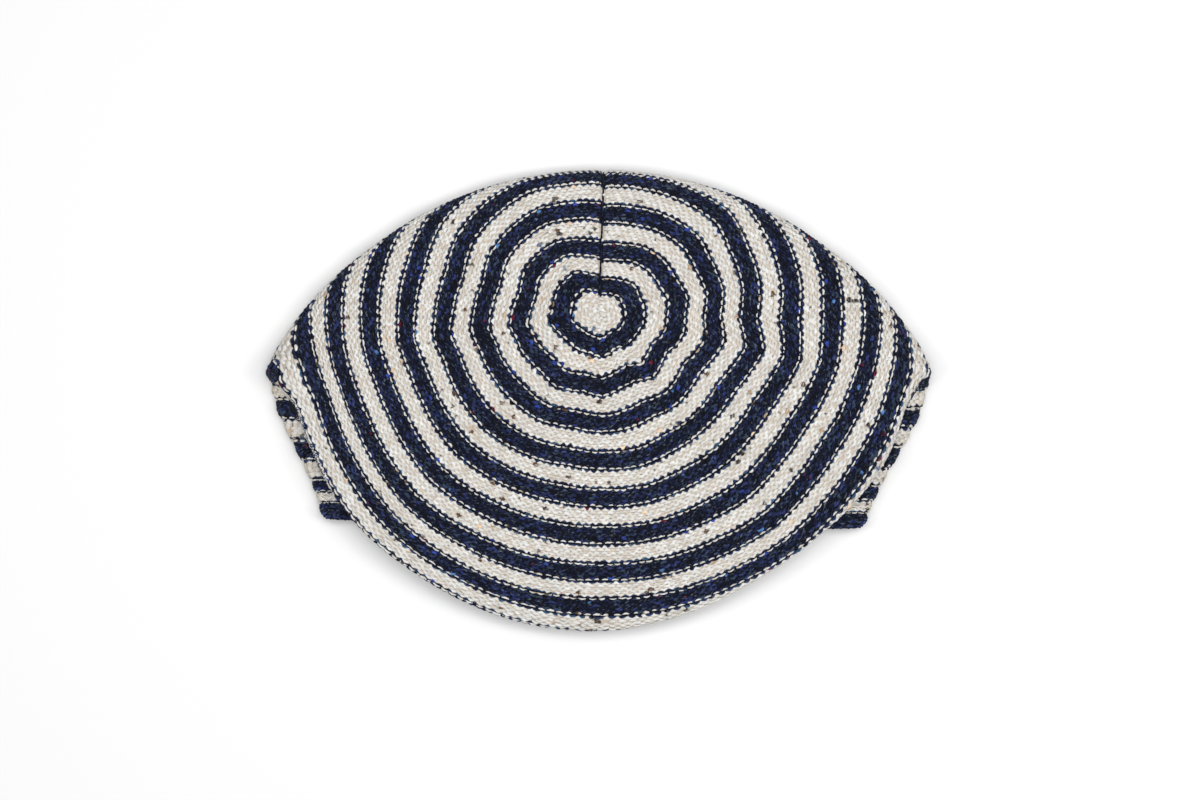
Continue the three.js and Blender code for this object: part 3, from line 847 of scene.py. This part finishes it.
def is_navy(line):
    band_line = (line - FIRST_NAVY_LINE) % REPEAT_LINES
    navy = np.isin(band_line, NAVY_LINES) | (line >= LAST_BAND_LINE)
    return navy & (line >= FIRST_DASH_LINE)


def is_dash(line):
    band_line = (line - FIRST_NAVY_LINE) % REPEAT_LINES
    return np.isin(band_line, DASH_LINES) & (line >= FIRST_DASH_LINE) & (line < LAST_BAND_LINE)


def stripe_place(line):
    """Where a line lies in its stripe, from -1 to 1, and 0 for lines between the stripes."""
    place = (line - FIRST_NAVY_LINE) % (REPEAT_LINES // 2)
    return np.where(place < STRIPE_LINES, 2 * place / (STRIPE_LINES - 1) - 1, 0)


def crown_line(line):
    """Directions of a crown line's stitches: columns run straight between two decrease lines."""
    radius = float(ring_radius(line_course(line)))
    pitch = lerp(CENTRE_PITCH, STITCH_PITCH, min(1, radius / CENTRE_PITCH_RADIUS))
    pitch = pitch * max(1, radius / STRETCH_RADIUS)
    if radius < 2 * CENTRE_PITCH:
        count = max(CENTRE_LEAST_STITCHES, round(2 * np.pi * radius / pitch))
        directions = (np.arange(count) + 0.5 * (line % 2)) * 360 / count + CENTRE_TWIST * line
        return directions, np.full(count, pitch)
    directions = []
    for first, last in zip(DECREASES[:-1], DECREASES[1:]):
        half = np.radians(last - first) / 2 * radius
        reach = int(half / pitch) + 1
        aside = (np.arange(-reach, reach + 1) + 0.5 * (line % 2)) * pitch
        aside = aside[(aside > -half) & (aside <= half)]
        directions.append((first + last) / 2 + np.degrees(aside / radius))
    directions = np.concatenate(directions)
    return directions, np.full(len(directions), pitch)


def below_line(line):
    """Turns of the stitches of a line below the crown, evenly round the beret."""
    gaps = ring_gaps(on_grid(point_grid, turn_grid, np.full(TURN_STEPS, line_course(line))))
    count = round(gaps.sum() / BELOW_PITCH)
    shares = run_along(gaps) / gaps.sum()
    turns = np.interp((np.arange(count) + 0.5 * (line % 2)) / count, shares, whole_turns)
    return turns, np.full(count, gaps.sum() / count)


stitch_turn, stitch_line, stitch_pitch = [], [], []
for line in range(LINES):
    if line < CROWN_LINES:
        directions, pitches = crown_line(line)
        wrapped = (directions - right_direction) % 360 + right_direction
        turns = np.interp(wrapped, np.append(direction_grid, right_direction + 360), whole_turns)
    else:
        turns, pitches = below_line(line)
    stitch_turn.append(turns)
    stitch_line.append(np.full(len(turns), line))
    stitch_pitch.append(pitches)
stitch_turn = np.concatenate(stitch_turn)
stitch_line = np.concatenate(stitch_line)
stitch_pitch = np.concatenate(stitch_pitch)
spread = np.where(stitch_line % 2 == 0, -DASH_SPREAD, DASH_SPREAD) * is_dash(stitch_line)
stitch_course = line_course(stitch_line) + spread + STRIPE_SPREAD * stripe_place(stitch_line)
stitch_turn = stitch_turn + seeded.normal(0, TURN_JITTER, len(stitch_turn))
stitch_course = np.clip(stitch_course + seeded.normal(0, COURSE_JITTER, len(stitch_turn)), 0, COURSES)
stitch_half = stitch_pitch * STITCH_SHARE / 2 * seeded.uniform(*LENGTH_RANGE, len(stitch_turn))

# Stitches stop short of the seam, and those of which too little is left are dropped.
seam_gap = on_grid(seam_gap_grid, stitch_turn, stitch_course)
speed = norm(on_grid(round_grid, stitch_turn, stitch_course))
near_end = np.maximum(np.abs(seam_gap) - stitch_half, SEAM_CLEAR)
far_end = np.abs(seam_gap) + stitch_half
stitch_turn = stitch_turn + np.sign(seam_gap) * ((near_end + far_end) / 2 - np.abs(seam_gap)) / speed
stitch_half = (far_end - near_end) / 2
kept = stitch_half > SHORTEST_HALF_STITCH
stitch_turn, stitch_line, stitch_course, stitch_half, speed = (
    values[kept] for values in (stitch_turn, stitch_line, stitch_course, stitch_half, speed)
)

# Courses that are stretched over a corner are filled with more stitches.
course_height = norm(on_grid(down_grid, stitch_turn, stitch_course)) / COURSE_STEP
stretch = course_height / COURSE_HEIGHT
filled = np.clip(np.round(stretch).astype(int), 1, MOST_FILLED)
source = np.repeat(np.arange(len(stitch_turn)), filled)
number = np.arange(len(source)) - np.searchsorted(source, source)
stitch_turn = stitch_turn[source] + (number % 2) * (stitch_half / speed)[source]
stitch_course = np.minimum(stitch_course[source] + number / filled[source] / 2, COURSES)
stitch_line = stitch_line[source]
stitch_half = stitch_half[source]
stitch_stretch = (stretch / filled)[source]
stitch_count = len(stitch_turn)

NAVY_SHADES = ((13, 15, 26), (21, 26, 46), (32, 38, 65), (20, 20, 27), (42, 51, 98), (48, 62, 82))
NAVY_WEIGHTS = (0.27, 0.28, 0.17, 0.10, 0.10, 0.08)
NAVY_DASH_SHADES = ((28, 38, 66), (38, 56, 94), (54, 86, 116))
NAVY_DASH_WEIGHTS = (0.4, 0.4, 0.2)
CREAM_SHADES = ((214, 213, 209), (211, 207, 202), (205, 200, 192), (218, 218, 216), (201, 198, 192))
CREAM_WEIGHTS = (0.34, 0.26, 0.14, 0.16, 0.10)
NAVY_FLECKS = (  # the share of stitches that a fleck of each colour is spun into
    (0.020, (48, 70, 160)),
    (0.006, (84, 132, 190)),
    (0.010, (112, 24, 40)),
    (0.012, (7, 8, 11)),
)
CREAM_FLECKS = (
    (0.024, (82, 60, 40)),
    (0.021, (46, 42, 40)),
    (0.006, (224, 196, 164)),
    (0.012, (176, 152, 128)),
    (0.002, (96, 112, 140)),
)
FLECK_SPREAD = (  # along its stitch
    (1, 1, 1, 0, 0),
    (0, 0, 1, 1, 1),
    (0, 1, 1, 1, 0),
    (1, 1, 0, 0, 0),
    (0, 0, 0, 1, 1),
    (1, 0, 0, 0, 0),
    (0, 1, 0, 0, 0),
    (0, 0, 0, 1, 0),
    (0, 0, 0, 0, 1),
)
FLECK_FULLNESS = 1.18
SHADE_RANGE = (0.9, 1.1)
FLECK_SHADE_RANGE = (0.8, 1.2)


def yarn_colours():
    """Each stitch's colour at its places, and how much thicker a fleck makes it."""
    navy = is_navy(stitch_line)
    colours = np.empty((stitch_count, 3))
    for chosen, shades, weights in (
        (navy, NAVY_SHADES, NAVY_WEIGHTS),
        (navy & is_dash(stitch_line), NAVY_DASH_SHADES, NAVY_DASH_WEIGHTS),
        (~navy, CREAM_SHADES, CREAM_WEIGHTS),
    ):
        picked = seeded.choice(len(shades), chosen.sum(), p=weights)
        colours[chosen] = np.array([linear(*shade) for shade in shades])[picked]
    colours = colours * seeded.uniform(*SHADE_RANGE, (stitch_count, 1))
    colours = np.repeat(colours[:, None], len(PLACES), axis=1)
    fullness = np.ones(stitch_count)
    for yarn, flecks in ((navy, NAVY_FLECKS), (~navy, CREAM_FLECKS)):
        for share, shade in flecks:
            flecked = np.flatnonzero(yarn & (seeded.random(stitch_count) < share))
            spread = np.array(FLECK_SPREAD)[seeded.integers(len(FLECK_SPREAD), size=len(flecked))][..., None]
            tone = linear(*shade) * seeded.uniform(*FLECK_SHADE_RANGE, (len(flecked), 1, 1))
            colours[flecked] = lerp(colours[flecked], tone, spread)
            fullness[flecked] = FLECK_FULLNESS
    return colours, fullness


stitch_colour, stitch_fullness = yarn_colours()

ARCH = -PLACES**2
RING_FULLNESS = np.array([0.84, 1.0, 0.84])
RING_ACROSS = np.array([-1.0, -0.5, 0.5, 1.0])
RING_UP = np.array([0.05, 1.0, 1.0, 0.05])
# Painted shade: a stitch's low sides, and its tips where it dips into the fabric, are painted darker.
RING_PAINTED_SHADE = np.array([0.9, 1.0, 1.0, 0.9])
TIP_PAINTED_SHADE = 0.72
TWIST = np.radians(24.0)  # the fibres' slant along the yarn
FIBRE_STRETCH = 0.3
STRAND_STEP = 7.3  # sets each stitch's fibres apart from the next one's
MAP_CELL = (0.1, 0.9)  # the part of its cell in the flat map that a stitch takes up


def spindles(name, wool, path, normal, half_width, height, bend, dip, colour):
    """One piece of short lengths of yarn, which follow paths of five points, arch and dip at both ends."""
    count = len(path)
    across = np.cross(normal, unit(np.gradient(path, axis=1)))
    path = path + across * (bend[:, None] * ARCH)[..., None] - normal * (dip[:, None] * PLACES**2)[..., None]
    aside = RING_ACROSS * (RING_FULLNESS * half_width[:, None])[..., None]
    up = RING_UP * (RING_FULLNESS * height[:, None])[..., None]
    rings = path[:, 1:-1, None] + aside[..., None] * across[:, 1:-1, None]
    rings = rings + up[..., None] * normal[:, 1:-1, None]
    points = np.concatenate([rings.reshape(count, -1, 3), path[:, [0, -1]]], axis=1)
    points[..., 2] = np.maximum(points[..., 2], 0)  # pressed flat by the table

    sides = len(RING_ACROSS)
    quads, triangles, quad_maps, triangle_maps = [], [], [], []
    low, high = MAP_CELL
    place_u = lerp(low, high, (PLACES[1:-1] + 1) / 2)
    for side in range(sides):
        beside = (side + 1) % sides
        v, w = lerp(low, high, side / sides), lerp(low, high, (side + 1) / sides)
        for ring in range(len(place_u) - 1):
            here, there = ring * sides, (ring + 1) * sides
            quads.append([here + side, there + side, there + beside, here + beside])
            u0, u1 = place_u[ring], place_u[ring + 1]
            quad_maps.append([(u0, v), (u1, v), (u1, w), (u0, w)])
        last = (len(place_u) - 1) * sides
        first_tip, last_tip = last + sides, last + sides + 1
        triangles.append([first_tip, side, beside])
        triangle_maps.append([(low, (v + w) / 2), (place_u[0], v), (place_u[0], w)])
        triangles.append([last + side, last_tip, last + beside])
        triangle_maps.append([(place_u[-1], v), (high, (v + w) / 2), (place_u[-1], w)])
    base = (np.arange(count) * points.shape[1])[:, None, None]
    quads = (np.array(quads) + base).reshape(-1, 4)
    triangles = (np.array(triangles) + base).reshape(-1, 3)
    cells = int(np.ceil(np.sqrt(count)))
    cell = np.stack([np.arange(count) % cells, np.arange(count) // cells], axis=-1)[:, None, None]
    quad_maps = ((np.array(quad_maps) + cell) / cells).reshape(-1, 2)
    triangle_maps = ((np.array(triangle_maps) + cell) / cells).reshape(-1, 2)
    # Each stitch's yarn colour, painted darker at its low sides and tips as painted shade.
    body = np.repeat(colour[:, 1:-1], sides, axis=1) * np.tile(RING_PAINTED_SHADE, len(place_u))[:, None]
    shaded = np.concatenate([body, colour[:, [0, -1]] * TIP_PAINTED_SHADE], axis=1)
    shaded = np.concatenate([shaded, np.ones((*shaded.shape[:2], 1))], axis=-1)

    half_length = norm(path[:, -1] - path[:, 0])[:, None] / 2
    forward = half_length * np.concatenate([np.repeat(PLACES[1:-1], sides), PLACES[[0, -1]]])
    aside = half_width[:, None] * np.concatenate([np.tile(RING_ACROSS, len(place_u)), [0, 0]])
    strand = np.stack([
        (forward * np.cos(TWIST) + aside * np.sin(TWIST)) * FIBRE_STRETCH,
        aside * np.cos(TWIST) - forward * np.sin(TWIST),
        np.broadcast_to(np.arange(count)[:, None] * STRAND_STEP, forward.shape),
    ], axis=-1)
    piece = joined_mesh(
        name, points.reshape(-1, 3), [quads, triangles], np.concatenate([quad_maps, triangle_maps]),
        yarn=shaded.reshape(-1, 4), strand=strand.reshape(-1, 3),
    )
    piece.data.materials.append(wool)
    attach(piece, "root")


# Navy yarn is a heather of near-black, blue and teal fibres, and cream yarn one of ivory and beige. The
# fibres run along the yarn with its twist.
HEATHER_SCALE = 1.5
HEATHER_SLOPE = 7.0  # how sharply its fibres stand out
HEATHER_STEP = 10.0  # sets its colours apart from each other
HEATHER_OFFSET = (3.0, 0.7)
FIBRE_SCALE = 4.0
FIBRE_DARKEST = 0.72
FIBRE_BUMP = 0.5
FIBRE_DEPTH = 0.3


def yarn_material(name, sheen_tint, heather):
    """Wool of each stitch's own shade, mixed with other fibres."""
    wool, start, shader = new_wool(name, roughness=0.92, sheen=0.07, sheen_tint=sheen_tint)
    colour = start.node("Attribute", 0, {"attribute_name": "yarn"})
    strand = start.node("Attribute", 1, {"attribute_name": "strand"})
    fibre = start.node("TexNoise", Vector=strand, Scale=FIBRE_SCALE, Detail=4.0, Roughness=0.7)
    for number, (shade, from_value, strength) in enumerate(heather):
        offset = (HEATHER_STEP * number, *HEATHER_OFFSET)
        moved = start.node("VectorMath", 0, {"operation": "ADD"}, at0=strand, at1=offset)
        mixed = start.node("TexNoise", Vector=moved, Scale=HEATHER_SCALE, Detail=3.0)
        colour = (mixed.above(from_value, HEATHER_SLOPE) * strength).mix(colour, paint(shade))
    colour = colour.times(uneven(fibre, FIBRE_DARKEST))
    finish_wool(start, shader, colour, fibre, FIBRE_BUMP, FIBRE_DEPTH)
    return wool


# Each fibre's colour, the height of the noise above which it shows, and how strongly.
NAVY_HEATHER = (((4, 5, 8), 0.5, 0.9), ((46, 58, 110), 0.56, 0.8), ((98, 110, 122), 0.57, 0.8))
CREAM_HEATHER = (((176, 160, 144), 0.56, 0.5), ((212, 210, 206), 0.52, 0.5))
navy_wool = yarn_material("navy_tweed_wool", (150, 160, 190), NAVY_HEATHER)
cream_wool = yarn_material("cream_tweed_wool", (250, 240, 225), CREAM_HEATHER)


def purl_stitches(name, chosen, wool):
    """One piece of the chosen stitches, which are all of one yarn."""
    line, half_length = stitch_line[chosen], stitch_half[chosen]
    count = len(line)
    turn, course = stitch_turn[chosen, None], stitch_course[chosen, None]
    speed = norm(on_grid(round_grid, turn, course))
    reach = np.minimum(half_length[:, None] / speed, WIDEST_TURN)
    path, normal = outer_face(turn + reach * PLACES, course + 0 * PLACES)
    dash = is_dash(line)
    navy = bool(is_navy(line[0]))
    strip = strip_share(turn, course)[:, 0]
    half_width = np.where(dash, DASH_HALF_WIDTH[navy], LINE_HALF_WIDTH[navy]) * (1 + STRIP_FULLNESS * strip)
    half_width = half_width * np.clip(stitch_stretch[chosen], *STRETCH_RANGE)
    half_width = half_width * seeded.uniform(*WIDTH_RANGE, count)
    half_width = half_width * (1 + DASH_UNEVENNESS * dash * seeded.uniform(-1, 1, count))
    height = STITCH_HEIGHT * seeded.uniform(*HEIGHT_RANGE, count) * (1 - STRIP_FLATNESS / 2 * strip)
    # Painted shade: the stitches in the strips at the sides are darkened, where these face sideways.
    shade = lerp(1, np.array(STRIP_PAINTED_SHADE), strip[:, None])[:, None]
    place = stripe_place(line)
    plain_bend = -np.sign(place) * np.where(np.abs(place) == 1, EDGE_BEND, STITCH_BEND)
    bend = np.where(dash, np.where(line % 2 == 0, DASH_BEND, -DASH_BEND), plain_bend)
    bend = bend * np.minimum(1, half_length / FULL_HALF_STITCH) + seeded.normal(0, BEND_JITTER, count)
    spindles(
        name, wool, path, normal, half_width * stitch_fullness[chosen], height,
        bend * (1 - STRIP_FLATNESS * strip), STITCH_DIP * (1 - STRIP_FLATNESS * strip),
        stitch_colour[chosen] * shade,
    )


on_crown = stitch_line < CROWN_LINES
navy = is_navy(stitch_line)
at_front = stitch_turn % 2 >= 1
for label, yarn, wool in (("navy", navy, navy_wool), ("cream", ~navy, cream_wool)):
    for place, chosen in (
        ("crown_front", on_crown & at_front),
        ("crown_back", on_crown & ~at_front),
        ("below", ~on_crown),
    ):
        purl_stitches(f"{label}_{place}_stitches", np.flatnonzero(yarn & chosen), wool)


# The back seam. The beret is knitted flat and sewn up along one wale with navy yarn, whose small stitches
# lie in a groove from beside the crown's centre over the back edge to the brim.
SEAM_STITCH = 2.2
SEAM_HALF_STITCH = 1.45
SEAM_YARN_RADIUS = 0.5
SEAM_DIP = 0.25
SEAM_STANDS = 0.2
SEAM_LEANS = (-8, 14)  # degrees from the seam's line, by turns
SEAM_LEAN_JITTER = 4
SEAM_YARN = (13, 15, 25)
SEAM_STEPS = 2000

seam_courses = np.linspace(SEAM_START_COURSE, COURSES, SEAM_STEPS)
seam_line = on_grid(point_grid, np.full(SEAM_STEPS, seam_turn), seam_courses)
seam_run = run_along(norm(np.diff(seam_line, axis=0)))
seam_count = int(seam_run[-1] / SEAM_STITCH)
seam_lean = np.resize(SEAM_LEANS, seam_count) + seeded.normal(0, SEAM_LEAN_JITTER, seam_count)
seam_places = (np.arange(seam_count)[:, None] + 0.5) * SEAM_STITCH + SEAM_HALF_STITCH * PLACES
seam_course = np.interp(seam_places, seam_run, seam_courses)
seam_speed = norm(on_grid(round_grid, np.full(seam_course.shape, seam_turn), seam_course))
seam_path, seam_normal = outer_face(
    seam_turn + SEAM_HALF_STITCH * PLACES * np.tan(np.radians(seam_lean))[:, None] / seam_speed, seam_course
)
seam_radius = np.full(seam_count, SEAM_YARN_RADIUS)
spindles(
    "back_seam", navy_wool, seam_path + SEAM_STANDS * seam_normal, seam_normal, seam_radius, seam_radius,
    np.zeros(seam_count), np.full(seam_count, SEAM_DIP),
    np.tile(linear(*SEAM_YARN), (seam_count, len(PLACES), 1)),
)


# The cast-off edge. The last course is bound off in navy, and its loops wrap round the rolled edge of the
# head opening from the outer face to the inner one.
CAST_OFF_ANGLES = (18, 54, 90, 126, 162)
CAST_OFF_PITCH = 3.4
CAST_OFF_SHARE = 0.54  # of the pitch that half a loop spans
CAST_OFF_HALF_WIDTH = 0.7
CAST_OFF_BEND = 0.3

edge_run = run_along(ring_gaps(rolled_edge(turn_grid, np.pi / 2)[0]))
edge_count = round(edge_run[-1] / CAST_OFF_PITCH)
cast_off_path, cast_off_normal = [], []
for number, angle in enumerate(CAST_OFF_ANGLES):
    middles = (np.arange(edge_count) + 0.5 * (number % 2)) / edge_count * edge_run[-1]
    ends = middles[:, None] + CAST_OFF_PITCH * CAST_OFF_SHARE * PLACES
    turns = np.interp(ends, edge_run, whole_turns)
    path, normal = rolled_edge(turns, np.radians(angle))
    cast_off_path.append(path)
    cast_off_normal.append(normal)
cast_off_path = np.concatenate(cast_off_path)
cast_off_normal = np.concatenate(cast_off_normal)
loops = len(cast_off_path)
loop_shades = np.array([linear(*shade) for shade in NAVY_SHADES])[seeded.choice(len(NAVY_SHADES), loops)]
spindles(
    "cast_off_edge", navy_wool, cast_off_path, cast_off_normal,
    CAST_OFF_HALF_WIDTH * seeded.uniform(*WIDTH_RANGE, loops), np.full(loops, STITCH_HEIGHT),
    CAST_OFF_BEND * np.resize([1, -1], loops), np.full(loops, STITCH_DIP),
    np.repeat(loop_shades[:, None], len(PLACES), axis=1),
)


# The table and the studio. A pale seamless top lies under a ring of soft boxes, so that the shadow is a
# soft narrow rim on every side, and the camera looks straight down.
TABLE_SIZE = 6.0  # the studio's sizes are in metres
TABLE_HEIGHT = -0.2 * MM
TABLE_COLOUR = (0.8, 0.8, 0.8, 1)
TABLE_ROUGHNESS = 0.9

bpy.ops.object.select_all(action="DESELECT")
bpy.ops.mesh.primitive_plane_add(size=TABLE_SIZE, location=(0, 0, TABLE_HEIGHT))
table = bpy.context.object
table.name = "table_top"
bpy.ops.object.transform_apply(location=True, rotation=True, scale=True)
pale = bpy.data.materials.new("pale_table")
pale.use_nodes = True
pale.node_tree.nodes["Principled BSDF"].inputs["Base Color"].default_value = TABLE_COLOUR
pale.node_tree.nodes["Principled BSDF"].inputs["Roughness"].default_value = TABLE_ROUGHNESS
table.data.materials.append(pale)

SOFT_BOXES = 8
SOFT_BOX_SIZE = 0.5
SOFT_BOX_DISTANCE = 1.7
SOFT_BOX_RISE = {"sides": 57.0, "ends": 80.0}  # degrees above the table
SOFT_BOX_ENERGY = 4.72
SOFT_BOX_SHARES = {"all": 0.75, "sides": 0.5, "right": 0.25, "back": 0.15}  # of that energy, added up
STUDIO_FILL = 0.1

for number in range(SOFT_BOXES):
    bearing = np.radians(360 * number / SOFT_BOXES)
    rise = np.radians(lerp(SOFT_BOX_RISE["sides"], SOFT_BOX_RISE["ends"], np.abs(np.sin(bearing))))
    flat = SOFT_BOX_DISTANCE * np.cos(rise)
    place = (flat * np.cos(bearing), flat * np.sin(bearing), SOFT_BOX_DISTANCE * np.sin(rise))
    bpy.ops.object.light_add(type="AREA", location=place, rotation=(0, np.pi / 2 - rise, bearing))
    soft_box = bpy.context.object
    soft_box.name = f"soft_box_{number + 1}"
    soft_box.data.shape = "SQUARE"
    soft_box.data.size = SOFT_BOX_SIZE
    share = SOFT_BOX_SHARES["all"] + SOFT_BOX_SHARES["sides"] * np.cos(bearing) ** 2
    share += SOFT_BOX_SHARES["right"] * np.cos(bearing) + SOFT_BOX_SHARES["back"] * np.sin(bearing)
    soft_box.data.energy = SOFT_BOX_ENERGY * share

world = bpy.data.worlds.new("studio")
world.use_nodes = True
world.node_tree.nodes["Background"].inputs["Color"].default_value = (1, 1, 1, 1)
world.node_tree.nodes["Background"].inputs["Strength"].default_value = STUDIO_FILL
bpy.context.scene.world = world
bpy.context.scene.view_settings.view_transform = "Standard"

FRAME_WIDTH = 525.2 * MM  # what the picture's 1200 pixels span at the beret's edge
EDGE_HEIGHT = 11 * MM
CAMERA_ASIDE = 0.44 * MM
LENS = 85
SENSOR = 36

bpy.ops.object.camera_add(rotation=(0, 0, 0))
camera = bpy.context.object
camera.name = "camera_above"
camera.data.lens = LENS
camera.data.sensor_width = SENSOR
camera.location = (CAMERA_ASIDE, 0, EDGE_HEIGHT + FRAME_WIDTH * LENS / SENSOR)
bpy.context.scene.camera = camera
